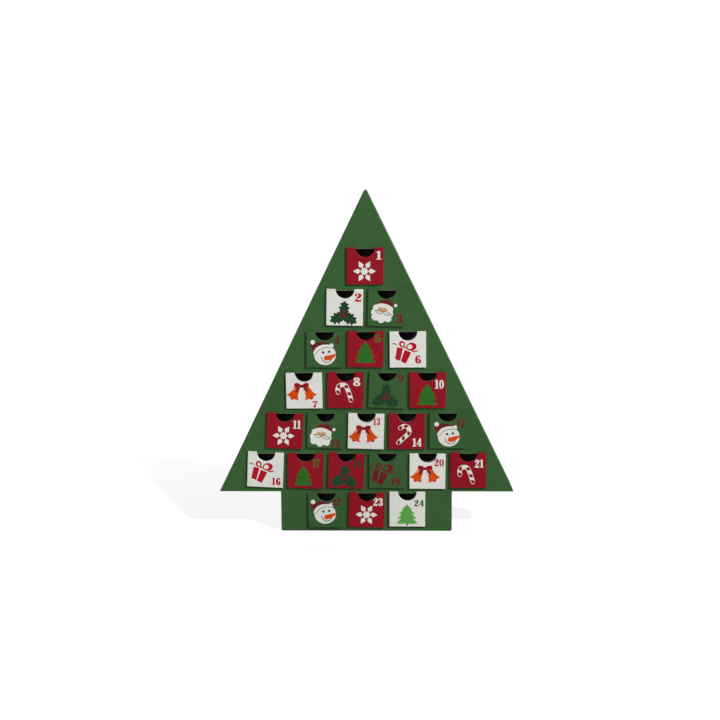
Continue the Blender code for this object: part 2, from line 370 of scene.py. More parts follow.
def piece_from(shape, name, finishes, body):
    """A new piece with this shape, riding on a body."""
    mesh = bpy.data.meshes.new(name)
    shape.to_mesh(mesh)
    shape.free()
    mesh.shade_smooth()
    piece = placed(name, mesh)
    for finish in finishes:
        mesh.materials.append(finish)
    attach(piece, body)
    return piece


def keep_flats_flat(piece):
    normals = piece.modifiers.new("flat faces stay flat", "WEIGHTED_NORMAL")
    normals.weight = HIGHEST_WEIGHT
    normals.keep_sharp = True


def dressed_board(node, name, finishes, finish_of):
    """A softened copy of a board; finish_of gives the place of a face's finish in the list."""
    shape = solid_shape(node)
    soften(shape, BOARD_EDGE)
    for face in shape.faces:
        face.material_index = finish_of(face)
    piece = piece_from(shape, name, finishes, "cabinet")
    keep_flats_flat(piece)
    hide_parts(node)
    return piece


# %% [markdown]
# The face board is one die-cut board. Its outer edge is covered by the print, but the windows are cut
# through afterwards, so their edges show the bare grey core when a drawer is pulled. The three finishes
# could be three objects, with seams to hide. Instead each face of one closed mesh is sorted by the way it
# faces and by whether it lies in a window. The narrow rounded faces take the worn finish, so the outline
# of the tree has the fine pale line of a handled box.

# %% The face board
window_boxes = [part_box(f"tray_{number:02d}") for number in DRAWERS]
WINDOW_MARGIN = 0.0032
FACING = 0.99


def in_window(point):
    return any(low.x - WINDOW_MARGIN < point.x < high.x + WINDOW_MARGIN
               and low.z - WINDOW_MARGIN < point.z < high.z + WINDOW_MARGIN
               for low, high in window_boxes)


def face_board_part(face):
    """0 for the printed sheet, 1 for its rounded edge and 2 for the core in the windows."""
    if abs(face.normal.y) > FACING:
        return 0
    if in_window(face.calc_center_median()):
        return 2
    return 1


face_board = dressed_board("front_face", "face_board", [cabinet_paper, cabinet_edge, grey_board],
                           face_board_part)
print("the face board has", len(face_board.data.polygons), "faces")

# %% [markdown]
# The walls between the two boards are covered in the same green paper, without the gloss of the printed
# face. One strip, folded at the tip, makes both slopes, and another makes the sides and the foot of the
# trunk. A board closes the branches from below. One long wall round the whole outline would look much the
# same from the front, but these are the pieces that such a box is glued from, and where they meet the
# boards there is the thin dark seam seen from the side.

# %% The walls
TILTED = 0.02
SMALL_FACE = 0.0001
WALLS = {"roof_wall": "slope_strip", "trunk_wall": "trunk_strip", "branch_floor": "eaves_board"}


def wall_part(face):
    """0 for the paper, and 1 for a small face that is square to no axis, as at a rounded corner."""
    return int(min(abs(part) for part in face.normal) > TILTED and face.calc_area() < SMALL_FACE)


for wall, name in WALLS.items():
    dressed_board(wall, name, [wall_paper, cabinet_edge], wall_part)
print("walls dressed:", ", ".join(WALLS.values()))

# %% [markdown]
# The back is the last of the boards: the green paper is turned over its edge, and a slightly smaller
# lining sheet is pasted over it, so a border a few millimetres wide runs round the sheet. The border
# could be drawn with a mask in the finish, but then no light would catch its edge, so the sheet is a real
# one. Its corners are found from the long edges of the board, each moved inwards by the border. The small
# radii of the board don't matter that way.

# %% Corners of the lining sheet
LINING_BORDER = 0.004
LONG_EDGE = 0.010


def long_edges(shape):
    """The straight edges of the board's back as (start, end) pairs of (x, z), in order round it."""
    back = max((face for face in shape.faces if face.normal.y > FACING), key=lambda face: face.calc_area())
    loop = [vert.co.xz for vert in back.verts]
    return [(start, end) for start, end in zip(loop, loop[1:] + loop[:1]) if (end - start).length > LONG_EDGE]


def crossing(first, second):
    """Where two endless lines, each through a pair of points, cross."""
    here, along = first[0], first[1] - first[0]
    other, across = second[0], second[1] - second[0]
    return here + along * (other - here).cross(across) / along.cross(across)


def sheet_corners(edges):
    """The corners of the sheet: inwards is to the left of an edge when the edges run counter-clockwise."""
    turning = sum(start.cross(end) for start, end in edges)
    inwards = LINING_BORDER if turning > 0 else -LINING_BORDER
    moved_in = []
    for start, end in edges:
        step = (end - start).orthogonal().normalized() * inwards
        moved_in.append((start + step, end + step))
    return [crossing(moved_in[i - 1], edge) for i, edge in enumerate(moved_in)]

# %% [markdown]
# The back of the board moves in by the thickness of the sheet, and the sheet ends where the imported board
# did, so the calendar isn't any deeper than before. The sheet also reaches that far into the board, which
# leaves no gap under it. It could be one face that is extruded. But an extrude doesn't list its side faces
# in the same order each time the script runs, so the two rings of corners are joined face by face.

# %% The back board
PAPER_THICKNESS = 0.0002


def make_back_board():
    shape = solid_shape("back_board")
    edges = long_edges(shape)
    back_y = max(vert.co.y for vert in shape.verts)
    for vert in shape.verts:
        if vert.co.y > back_y - PAPER_THICKNESS:
            vert.co.y = back_y - PAPER_THICKNESS
    soften(shape, BOARD_EDGE, least_angle=60)
    for face in shape.faces:
        face.material_index = int(TILTED < abs(face.normal.y) < 1 - TILTED)
    board = piece_from(shape, "back_panel", [cabinet_paper, cabinet_edge], "cabinet")
    keep_flats_flat(board)
    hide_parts("back_board")

    sheet = bmesh.new()
    corners = sheet_corners(edges)
    depths = (back_y - 2 * PAPER_THICKNESS, back_y)
    inner, outer = ([sheet.verts.new((x, y, z)) for x, z in corners] for y in depths)
    sheet.faces.new(inner)
    sheet.faces.new(outer)
    for i in range(len(corners)):
        sheet.faces.new((inner[i - 1], inner[i], outer[i], outer[i - 1]))
    bmesh.ops.recalc_face_normals(sheet, faces=sheet.faces)
    lining = piece_from(sheet, "back_lining", [back_paper], "cabinet")
    lining.data.shade_flat()
    print("the lining sheet has its corners at", [(round(x / MM), round(z / MM)) for x, z in corners], "mm")


make_back_board()

# %% [markdown]
# The shelves and dividers that carry the drawers are plain grey board. They could be slotted together
# from separate strips, as on the real thing. But they are only glimpsed past an open drawer, so the
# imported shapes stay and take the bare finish.

# %% The cells
for row in ROWS:
    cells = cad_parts[f"cell_row_{row}"]
    cells.data.materials.clear()
    cells.data.materials.append(grey_board)
print(len(ROWS), "rows of cells in bare board")

# %% [markdown]
# A tray is folded from one piece of card, and at each corner a tapered flap is glued inside the front or
# the back wall. The flat sheet could be cut out and folded up in Blender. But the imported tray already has
# its walls in the right places, so only the flaps are added to it, as thin plates of their own, four to a
# tray.

# %% A glue flap
FLAP_REACH = 0.0070
FLAP_THICKNESS = 0.0005
FLAP_TAPER = 0.003
TAPER_AT_FOLD = 0.2
FLAP_SINK = 0.0001


def add_flap(shape, corner, side, wall, height):
    """A flap in a corner, reaching inwards along x from the side wall, tapered above and below."""
    outline = [(0, FLAP_TAPER * TAPER_AT_FOLD), (FLAP_REACH, FLAP_TAPER), (FLAP_REACH, height - FLAP_TAPER),
               (0, height - FLAP_TAPER * TAPER_AT_FOLD)]
    near = [shape.verts.new(corner + Vector((-side * along, wall * FLAP_SINK, up))) for along, up in outline]
    far = [shape.verts.new(vert.co - Vector((0, wall * (FLAP_THICKNESS + FLAP_SINK), 0))) for vert in near]
    faces = [shape.faces.new(near), shape.faces.new(list(reversed(far)))]
    for i in range(len(near)):
        j = (i + 1) % len(near)
        faces.append(shape.faces.new((near[j], near[i], far[i], far[j])))
    bmesh.ops.recalc_face_normals(shape, faces=faces)

# %% [markdown]
# A fold in card is never sharp: its outside has a radius of about half the card's thickness. So the copy
# of each packed tray gets rounded folds before it takes the dark card, and the flaps go into its four
# corners, a little below the rim.

# %% Folded card trays
FOLD = 0.0006
TRAY_WALL = 0.0012
FLAP_BELOW_RIM = 0.001


def make_tray(number):
    node = f"tray_{number:02d}"
    body = f"drawer_{number:02d}"
    shape = solid_shape(node)
    soften(shape, FOLD, segments=2, least_angle=60)
    tray = piece_from(shape, f"card_{node}", [black_card], body)
    keep_flats_flat(tray)
    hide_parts(node)
    low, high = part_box(node)
    flaps = bmesh.new()
    floor = low.z + TRAY_WALL
    for side in (-1, 1):
        x = (high.x if side > 0 else low.x) - side * (TRAY_WALL - FLAP_SINK)
        for wall in (-1, 1):
            y = (high.y if wall > 0 else low.y) - wall * TRAY_WALL
            add_flap(flaps, Vector((x, y, floor)), side, wall, high.z - floor - FLAP_BELOW_RIM)
    piece = piece_from(flaps, f"glue_flaps_{number:02d}", [black_card], body)
    piece.data.shade_flat()


for number in DRAWERS:
    make_tray(number)
print(len(DRAWERS), "trays folded")

# %% [markdown]
# The prints are outlines, not pictures. A picture would be quicker, but it blurs close by, and an outline
# is sharp at any distance. Each print is a list of shapes in millimetres from the middle of a front, and
# a later shape is printed over an earlier one. The next two cells are a small drawing kit in which every
# function gives a list of outlines. First come the plain shapes, and the ways to turn, move and mirror
# them.

# %% Plain shapes


def ellipse(x, y, across, up=None, turn=0.0, count=32):
    """An ellipse with these half-widths."""
    up = up or across
    points = [(across * cos(2 * pi * i / count), up * sin(2 * pi * i / count)) for i in range(count)]
    return moved(turned([points], turn), x, y)


def slab(left, right, low, high):
    return [[(left, low), (right, low), (right, high), (left, high)]]


def turned(outlines, angle):
    c, s = cos(radians(angle)), sin(radians(angle))
    return [[(x * c - y * s, x * s + y * c) for x, y in points] for points in outlines]


def moved(outlines, across, up, wide=1.0, tall=None):
    """The outlines made wider or taller, and then moved."""
    tall = wide if tall is None else tall
    return [[(x * wide + across, y * tall + up) for x, y in points] for points in outlines]


def mirrored(outlines):
    return [[(-x, y) for x, y in points] for points in outlines]

# %% [markdown]
# Curves come next. Blender's curve objects could draw them, but their points would then have to be read
# back from a mesh, so a short formula lays a smooth curve through the given points. A ribbon is a stroke
# whose width changes along its way. It is made of many short outlines, so it may bend sharply without
# harm. Ribbons draw figures and thin lines alike.

# %% Curves and strokes
CURVE_STEPS = 6
BLOB_STEPS = 5


def between(a, b, c, d, t):
    """The number at the share t of a smooth way from b to c, with a before them and d after them."""
    return 0.5 * (2 * b + (c - a) * t
                  + (2 * a - 5 * b + 4 * c - d) * t ** 2 + (3 * b - a - 3 * c + d) * t ** 3)


def smooth(points, closed=False, steps=CURVE_STEPS):
    """Points along a smooth curve through the given ones."""
    count = len(points)
    found = []
    for i in range(count if closed else count - 1):
        places = [(i + k) % count if closed else min(max(i + k, 0), count - 1) for k in (-1, 0, 1, 2)]
        for step in range(steps):
            four = zip(*(points[place] for place in places))
            found.append(tuple(between(*numbers, step / steps) for numbers in four))
    return found if closed else found + [tuple(points[-1])]


def blob(*points):
    return [smooth(points, True, BLOB_STEPS)]


def ribbon(*points):
    """A stroke along (x, y, width) points, as one small outline for each step of its way."""
    way = smooth(points)
    sides = []
    for i, (x, y, width) in enumerate(way):
        before, after = way[max(i - 1, 0)], way[min(i + 1, len(way) - 1)]
        along = Vector((after[0] - before[0], after[1] - before[1])).normalized() * width / 2
        sides.append([(x - along.y, y + along.x), (x + along.y, y - along.x)])
    steps_of_way = [near + far for near, far in zip(sides, sides[1:])]
    return [[corners[i] for i in convex_hull_2d(corners)] for corners in steps_of_way]


def line(width, *points):
    """A stroke of one width with round ends."""
    first, last = (moved(ellipse(0, 0, width / 2, count=12), *end) for end in (points[0], points[-1]))
    return ribbon(*[(x, y, width) for x, y in points]) + first + last


print("a line through three points has", len(line(1.0, (0, 0), (4, 2), (8, 0))), "outlines")

# %% [markdown]
# The numbers are set in a fat old poster face: thick uprights against hairlines, with balls and slabs at
# the ends. A text object would need a font that every computer has, so the figures are drawn here, each
# one unit high. What is printed comes first, and then the holes, which are printed over it in the colour
# of the ground. A nine is a six turned by half a turn.

# %% Figures
FIGURE_WEIGHT = 1.2
HAIRLINE = 0.02


def stroke(*points):
    """A ribbon in the weight of the figures, with its finest parts still wide enough to print."""
    return ribbon(*[(x, y, width * FIGURE_WEIGHT + HAIRLINE) for x, y, width in points])


SIX_WIDTH = 0.62
SIX = (ellipse(0.46, 0.80, 0.10)
       + stroke((0.53, 0.85, 0.04), (0.44, 0.945, 0.05), (0.31, 0.955, 0.07), (0.17, 0.80, 0.17),
                (0.14, 0.50, 0.22), (0.17, 0.20, 0.18), (0.31, 0.035, 0.06))
       + stroke((0.30, 0.035, 0.06), (0.46, 0.15, 0.17), (0.50, 0.32, 0.20), (0.42, 0.50, 0.12),
                (0.29, 0.555, 0.05), (0.17, 0.49, 0.04)))
FIGURES = {
    "0": (0.62, ellipse(0.31, 0.5, 0.31, 0.5), ellipse(0.31, 0.5, 0.085, 0.41)),
    "1": (0.50, slab(0.14, 0.38, 0.03, 1.0) + slab(0.0, 0.50, 0.0, 0.085)
          + [[(0.38, 1.0), (0.27, 1.0), (0.0, 0.88), (0.0, 0.80), (0.20, 0.84)]], []),
    "2": (0.62, ellipse(0.14, 0.74, 0.11)
          + stroke((0.055, 0.78, 0.05), (0.13, 0.915, 0.07), (0.29, 0.95, 0.07), (0.44, 0.87, 0.18),
                   (0.47, 0.74, 0.22), (0.38, 0.55, 0.18), (0.22, 0.36, 0.09), (0.06, 0.10, 0.06))
          + stroke((0.03, 0.02, 0.04), (0.12, 0.12, 0.14), (0.28, 0.115, 0.19), (0.45, 0.095, 0.17),
                   (0.55, 0.17, 0.07), (0.59, 0.32, 0.03)), []),
    "3": (0.60, ellipse(0.14, 0.79, 0.105) + ellipse(0.14, 0.21, 0.11)
          + stroke((0.06, 0.82, 0.05), (0.15, 0.935, 0.06), (0.29, 0.95, 0.07), (0.42, 0.87, 0.16),
                   (0.44, 0.74, 0.20), (0.36, 0.59, 0.12), (0.20, 0.53, 0.05))
          + stroke((0.20, 0.53, 0.05), (0.38, 0.51, 0.10), (0.47, 0.37, 0.19), (0.45, 0.18, 0.21),
                   (0.31, 0.055, 0.08), (0.16, 0.055, 0.06), (0.055, 0.17, 0.05)), []),
    "4": (0.64, slab(0.32, 0.56, 0.03, 1.0) + slab(0.23, 0.64, 0.0, 0.08) + slab(0.0, 0.64, 0.24, 0.33)
          + [[(0.0, 0.33), (0.0, 0.25), (0.09, 0.25), (0.52, 0.98), (0.41, 1.0)]], []),
    "5": (0.60, ellipse(0.14, 0.21, 0.11) + slab(0.08, 0.145, 0.50, 0.95)
          + stroke((0.09, 0.93, 0.10), (0.28, 0.895, 0.17), (0.44, 0.92, 0.14), (0.53, 0.98, 0.03))
          + stroke((0.10, 0.52, 0.05), (0.25, 0.60, 0.08), (0.42, 0.54, 0.16), (0.48, 0.35, 0.22),
                   (0.43, 0.14, 0.18), (0.28, 0.045, 0.06), (0.14, 0.06, 0.05), (0.055, 0.17, 0.05)), []),
    "6": (SIX_WIDTH, SIX, []),
    "7": (0.60, slab(0.01, 0.075, 0.72, 1.0)
          + stroke((0.04, 0.84, 0.06), (0.10, 0.90, 0.15), (0.27, 0.895, 0.18), (0.44, 0.90, 0.15),
                   (0.58, 0.95, 0.05))
          + stroke((0.56, 0.94, 0.06), (0.41, 0.68, 0.08), (0.28, 0.42, 0.14), (0.24, 0.16, 0.20),
                   (0.25, 0.01, 0.20)), []),
    "8": (0.62, ellipse(0.31, 0.745, 0.255, 0.255) + ellipse(0.31, 0.265, 0.31, 0.265),
          ellipse(0.32, 0.765, 0.07, 0.135, turn=10) + ellipse(0.30, 0.26, 0.085, 0.15, turn=10)),
    "9": (SIX_WIDTH, moved(turned(SIX, 180), SIX_WIDTH, 1.0), []),
}
FIGURE_GAP = 0.04


def figures(number, left, low, right, high, ink, ground):
    """The number, made to fill this box."""
    text = str(number)
    wide = sum(FIGURES[figure][0] for figure in text) + FIGURE_GAP * (len(text) - 1)
    scale = ((right - left) / wide, high - low)
    prints = []
    for figure in text:
        width, printed, holes = FIGURES[figure]
        prints += [(ink, moved(printed, left, low, *scale)), (ground, moved(holes, left, low, *scale))]
        left += (width + FIGURE_GAP) * scale[0]
    return prints


print("figures drawn:", " ".join(FIGURES))

# %% [markdown]
# Now the motifs: the usual figures of a winter print. A snowflake has six arms round a disc, with a small
# petal in each gap. Six arms drawn by hand would never match, so one arm is drawn and turned.

# %% Snowflake
FLAKE_REACH = 14.3
GAP_PETAL = 0.88


def snowflake():
    kite = [[(0.39, 0), (0.43, 0.12), (0.56, 0.225), (0.73, 0.165), (1.0, 0), (0.73, -0.165), (0.56, -0.225),
             (0.43, -0.12)]]
    petal = [[(0.0, 0), (0.22, 0.09), (0.43, 0), (0.22, -0.09)]]
    stalk = slab(0.33, 0.42, -0.035, 0.035)
    arms = []
    for arm in range(6):
        arms += turned(kite + petal + stalk, 60 * arm) + moved(turned(petal, 60 * arm + 30), 0, 0, GAP_PETAL)
    return [("white", moved(arms + ellipse(0, 0, 0.26), 0, 0, FLAKE_REACH))]


print("a snowflake has", len(snowflake()[0][1]), "outlines")

# %% [markdown]
# The fir tree has four tiers that widen downwards. A stack of triangles would be too stiff for this
# print: the edge of each tier sags a little and ends in a ragged tip. The right half is drawn, tier by
# tier, and mirrored.

# %% Fir tree
# How far down each tier ends and how far out, as shares of the tree.
FIR_TIERS = ((0.26, 0.47), (0.51, 0.77), (0.75, 0.91), (0.99, 1.0))


def fir_tree(ink, top, foot, half, trunk=False):
    right = [(0.0, top)]
    for down, out in FIR_TIERS:
        low, out = top + (foot - top) * down, half * out
        x, y = right[-1]
        right += [(x + (out - x) * t - 0.5 * sin(pi * t), y + (low - y) * t - 0.6 * sin(pi * t))
                  for t in (0.25, 0.5, 0.75)]
        right += [(out, low), (out * 0.88, low + 0.2), (out * 0.78, low - 0.4), (out * 0.60, low + 0.6)]
    right[-1:] = [(half * 0.6, foot - 0.4), (half * 0.42, foot - 0.7), (half * 0.25, foot - 0.4)]
    prints = [(ink, [right + [(-x, y) for x, y in reversed(right[1:])]])]
    if trunk:
        prints.append((ink, slab(-1.2, 1.2, foot - 3.1, foot + 0.8)))
    return prints

# %% [markdown]
# Holly is one spiny leaf used three times, with a thin rib in each leaf and three berries where they
# meet. The spines could be placed one by one. They follow a formula instead, so they keep to the width of
# the leaf whatever its size.

# %% Holly
# Each leaf's direction in degrees, its length and its half-width.
HOLLY_LEAVES = ((87, 18.2, 7.6), (207, 19.6, 8.6), (-32, 19.4, 8.6))
HOLLY_MIDDLE = (-1.0, -9.6)
SPINES = 3
BERRIES = ((-3.7, -10.7), (2.0, -10.9), (-0.7, -6.0))
BERRY = 2.15
BERRY_RIM = 0.45


def holly_leaf(length, half):
    """A leaf along +x from the origin: spines on both sides, with hollows between them."""
    side = [(0.0, 0.0)]
    for spine in range(SPINES):
        at = 0.20 + 0.50 * spine / (SPINES - 1)
        wide = half * sin(pi * (0.14 + 0.86 * at)) ** 0.8
        side += [(length * (at - 0.10), wide * 0.66), (length * at, wide * 0.80),
                 (length * (at + 0.09), wide)]
    side += [(length * 0.84, half * 0.30), (length * 0.91, half * 0.22), (length, 0.0)]
    return [side + [(along, -out) for along, out in reversed(side[1:-1])]]


def holly():
    prints = []
    for angle, length, half in HOLLY_LEAVES:
        rib = ribbon((3.5, 0, 0.35), (8.0, 0, 0.5), (length * 0.84, 0, 0.12))
        prints += [("holly_green", moved(turned(holly_leaf(length, half), angle), *HOLLY_MIDDLE)),
                   ("vein_green", moved(turned(rib, angle), *HOLLY_MIDDLE))]
    for place in BERRIES:
        prints += [("holly_green", ellipse(*place, BERRY + BERRY_RIM)), ("dark_red", ellipse(*place, BERRY))]
    return prints


print("a holly leaf has", len(holly_leaf(*HOLLY_LEAVES[0][1:])[0]), "corners")

# %% [markdown]
# The gift leans a little, with its box in two halves beside an upright band, and two loops and two tails
# of ribbon above. The band could be a stripe printed over the box. It is a gap between the halves, as a
# printer would do it, and shows the ground; only the loops need holes printed into them.

# %% Gift


def gift(ink, ground):
    halves = [[(-13.7, 3.4), (-6.2, 1.6), (-9.9, -14.4), (-16.4, -12.3)],
              [(-4.0, -0.2), (4.4, -3.7), (-2.8, -18.3), (-9.2, -15.2)]]
    tails = (ribbon((-19.9, 7.8, 0.6), (-17.0, 7.6, 1.6), (-13.4, 6.3, 0.7))
             + ribbon((4.4, -1.0, 0.7), (6.6, -2.3, 1.6), (10.0, -2.2, 1.7), (13.6, -1.0, 0.6)))
    knot = ribbon((-5.4, 3.6, 0.9), (-3.5, 2.7, 2.0), (-1.4, 2.0, 0.9))
    loops = ellipse(-7.3, 7.1, 3.8, 4.3, turn=12) + ellipse(4.5, 3.7, 6.7, 5.2, turn=10)
    holes = ellipse(-7.0, 6.7, 1.7, 2.3, turn=12) + ellipse(2.7, 3.6, 3.2, 3.0, turn=10)
    return [(ink, halves + tails + loops), (ground, holes), (ink, knot)]


# %% [markdown]
# The cane is a white stroke with slanted patches of the ground colour inside it, which leaves the stripes
# and a thin white rim. Straight patches would stick out where the cane bends, so the sides of a patch
# follow the stroke, and one side is shifted along it to give the slant.

# %% Cane
CANE_WIDTH = 5.8
CANE_RIM = 0.70
PATCH_LENGTH = 4.6
PATCH_SLANT = 0.8
PATCH_PLACES = (0.01, 0.21, 0.51, 0.77, 0.99)
PATCH_ROUNDING = 0.12
HOOK_LEFT = ((-9.1, -3.0), (-9.8, 1.4), (-8.0, 5.6), (-3.6, 7.3), (0.4, 5.8), (2.8, 1.6), (5.1, -4.6),
             (7.6, -12.8))
HOOK_OVER = ((-8.4, 4.3), (-5.4, 6.5), (-1.4, 6.9), (2.2, 4.6), (3.0, -0.6), (0.2, -4.8), (-5.4, -9.6),
             (-10.8, -14.7))


def along_way(way, distance):
    """The place and the direction at this distance along a way, also a little past its ends."""
    for near, far in zip(way, way[1:]):
        step = Vector(far) - Vector(near)
        if distance <= step.length or far == way[-1]:
            return Vector(near) + step.normalized() * distance, step.normalized()
        distance -= step.length


def cane(points):
    way = smooth(points)
    whole = sum((Vector(far) - Vector(near)).length for near, far in zip(way, way[1:]))
    half = CANE_WIDTH / 2 - CANE_RIM
    patches = []
    for share in PATCH_PLACES:
        sides = {-1: [], 1: []}
        for side, found in sides.items():
            for step in (-1, -0.5, 0, 0.5, 1):
                distance = share * whole + step * PATCH_LENGTH / 2 + side * PATCH_SLANT
                place, ahead = along_way(way, distance)
                out = side * half * (1 - PATCH_ROUNDING * step ** 4)
                found.append((place.x - ahead.y * out, place.y + ahead.x * out))
        patches.append(sides[-1] + sides[1][::-1])
    return [("white", line(CANE_WIDTH, *points)), ("red", patches)]


print("a cane has", len(cane(HOOK_LEFT)[1][1]), "patches")

# %% [markdown]
# Three of the white fronts show a pair of bells under a bow. Two bells drawn apart would differ, so one
# is drawn upright and swung out to each side, and half of the bow is drawn and mirrored.

# %% Bells
BELLS_SCALE = 1.12
BELL_SWING = 27
BELL_SPREAD = 4.2
BELL_TOP = 4.2
KNOT = (-2.6, 4.6)
BELL_SIDE = [(2.0, -0.6), (3.6, -3.0), (4.4, -8.0), (5.6, -11.6), (7.8, -14.0)]


def bells():
    half = smooth(BELL_SIDE, steps=BLOB_STEPS)
    prints = []
    for side in (-1, 1):
        bell = [("deep_orange", ellipse(0, -14.9, 2.2)),
                ("orange", [half + [(-x, y) for x, y in reversed(half)]] + ellipse(0, -13.9, 7.8, 1.2)),
                ("deep_orange", line(0.6, (-5.2, -11.4), (0, -12.2), (5.2, -11.4))
                 + line(0.5, (-4.1, -7.7), (0, -8.4), (4.1, -7.7))),
                ("white", ribbon((-2.3, -3.2, 0.3), (-2.9, -5.0, 0.9), (-2.9, -6.8, 0.3)))]
        prints += [(ink, moved(turned(outlines, side * BELL_SWING), KNOT[0] + side * BELL_SPREAD, BELL_TOP))
                   for ink, outlines in bell]
    tail = [[(0.4, -0.6), (3.0, -3.6), (5.2, -7.4), (6.4, -6.2), (8.0, -6.4), (5.4, -2.6), (2.0, 0.2)]]
    loop = blob((0, 0), (3.0, 3.2), (7.4, 3.6), (8.6, 0.6), (6.2, -1.8), (2.6, -1.2))
    hollow = blob((2.2, 0.5), (4.4, 2.0), (6.6, 1.9), (6.8, 0.5), (5.0, -0.4))
    bow = [("dark_red", tail), ("ruby", loop), ("dark_red", hollow)]
    for ink, outlines in bow:
        prints.append((ink, moved(outlines + mirrored(outlines), *KNOT)))
    prints.append(("dark_red", ellipse(*KNOT, 1.9, 1.7)))
    return [(ink, moved(outlines, 0, 0, BELLS_SCALE)) for ink, outlines in prints]


# %% [markdown]
# The two heads are the plainest kind: circles and a few lines. The snowman is a white disc with a soft
# cap, two dots, a carrot and a smile. Its lines could be cut out of the disc, but lines printed on top
# are simpler and may run past its edge.

# %% Snowman


def snowman():
    cap = blob((-13.9, -2.3), (-16.6, 2.2), (-18.3, 6.4), (-12.2, 8.6), (-5.0, 9.9), (0.6, 9.2), (7.0, 6.2),
               (2.0, 3.0), (-8.0, 0.0))
    brim = line(4.2, (-12.3, -4.4), (-8.8, 0.9), (-2.8, 3.8), (4.1, 4.4), (8.8, 3.8))
    seam = line(0.7, (-11.9, -6.4), (-7.2, -1.2), (-1.7, 1.6), (5.0, 2.7), (11.8, 1.6))
    smile = line(0.9, (-4.1, -9.9), (-2.5, -13.6), (1.7, -16.6), (6.2, -15.7), (9.4, -12.6))
    carrot = blob((-0.6, -11.2), (0.6, -8.6), (5.0, -7.6), (10.4, -6.3), (15.2, -5.8), (12.8, -9.4),
                  (8.0, -12.9), (3.2, -14.2), (0.3, -13.6))
    rings = line(0.35, (3.2, -9.4), (3.8, -10.8)) + line(0.35, (6.8, -8.9), (7.2, -10.1))
    head = ellipse(0.7, -7.0, 14.0, 13.1, count=64)
    return [("dark_red", cap), ("white", head + brim + ellipse(9.0, 5.2, 2.6)), ("soft_line", seam),
            ("white", ellipse(-15.0, 9.2, 3.0)),
            ("line", ellipse(-1.6, -3.8, 1.6) + ellipse(5.9, -2.9, 1.6)),
            ("line", smile), ("orange", carrot), ("deep_orange", rings)]


# %% [markdown]
# The bearded head is a scalloped cloud of a beard, a strip of face and a cap with a ball at its end. The
# scallops could be one long outline. They are discs laid over one another, because shapes in one ink join
# when they are cut and nobody sees where they overlap.

# %% Bearded head
BEARD_LOBES = ((-12.4, -0.3), (-14.5, -5.8), (-13.8, -11.8), (-6.0, -15.0), (2.8, -13.6), (4.7, -7.6),
               (4.4, -2.4))
BEARD_LOBE = 4.4


def bearded_head():
    cap = blob((-12.2, 3.6), (-8.9, 7.8), (-4.8, 10.0), (-0.3, 10.8), (4.0, 9.8), (7.2, 7.2), (10.6, 2.6),
               (8.0, 0.8), (0.0, 4.0))
    brim = line(3.6, (-12.6, 1.4), (-9.8, 3.2), (-4.8, 3.9), (1.4, 2.7), (7.2, -0.4))
    beard = ellipse(-5.0, -7.2, 11.4, 10.4, count=48)
    for x, y in BEARD_LOBES:
        beard += ellipse(x, y, BEARD_LOBE)
    face = blob((-10.9, -2.2), (-9.0, 0.0), (-4.0, 0.5), (0.6, -0.6), (2.4, -3.0), (0.4, -4.8), (-4.0, -5.2),
                (-9.0, -4.4))
    eyes = (line(0.6, (-8.2, -1.6), (-7.4, -1.1), (-6.6, -1.5))
            + line(0.6, (-2.4, -1.7), (-1.6, -1.3), (-0.8, -1.9)))
    left = ((-4.0, -5.0), (-8.4, -4.0), (-13.5, -3.2), (-11.0, -6.2), (-7.4, -7.2), (-4.6, -6.2))
    right = ((-4.0, -5.0), (-0.6, -4.7), (3.0, -6.3), (7.2, -7.9), (3.6, -9.2), (-0.6, -8.4), (-3.4, -6.4))
    prints = [("dark_red", cap), ("white", beard + brim), ("skin", face), ("line", eyes)]
    for lobe in (left, right):
        prints += [("white", blob(*lobe)), ("line", line(0.75, *lobe, lobe[0]))]
    return prints + [("deep_skin", ellipse(-3.9, -4.1, 1.6, 1.3)), ("white", ellipse(12.0, 3.6, 2.1))]


# %% [markdown]
# Which drawer has what: the ground of its front, its motif and how far this is moved from its usual
# place, the ink of its number and the box that the number fills. The numbers stand a little differently
# on every front, as on the real thing, so they can't follow one rule, and a table is the easiest form to
# read and to correct.

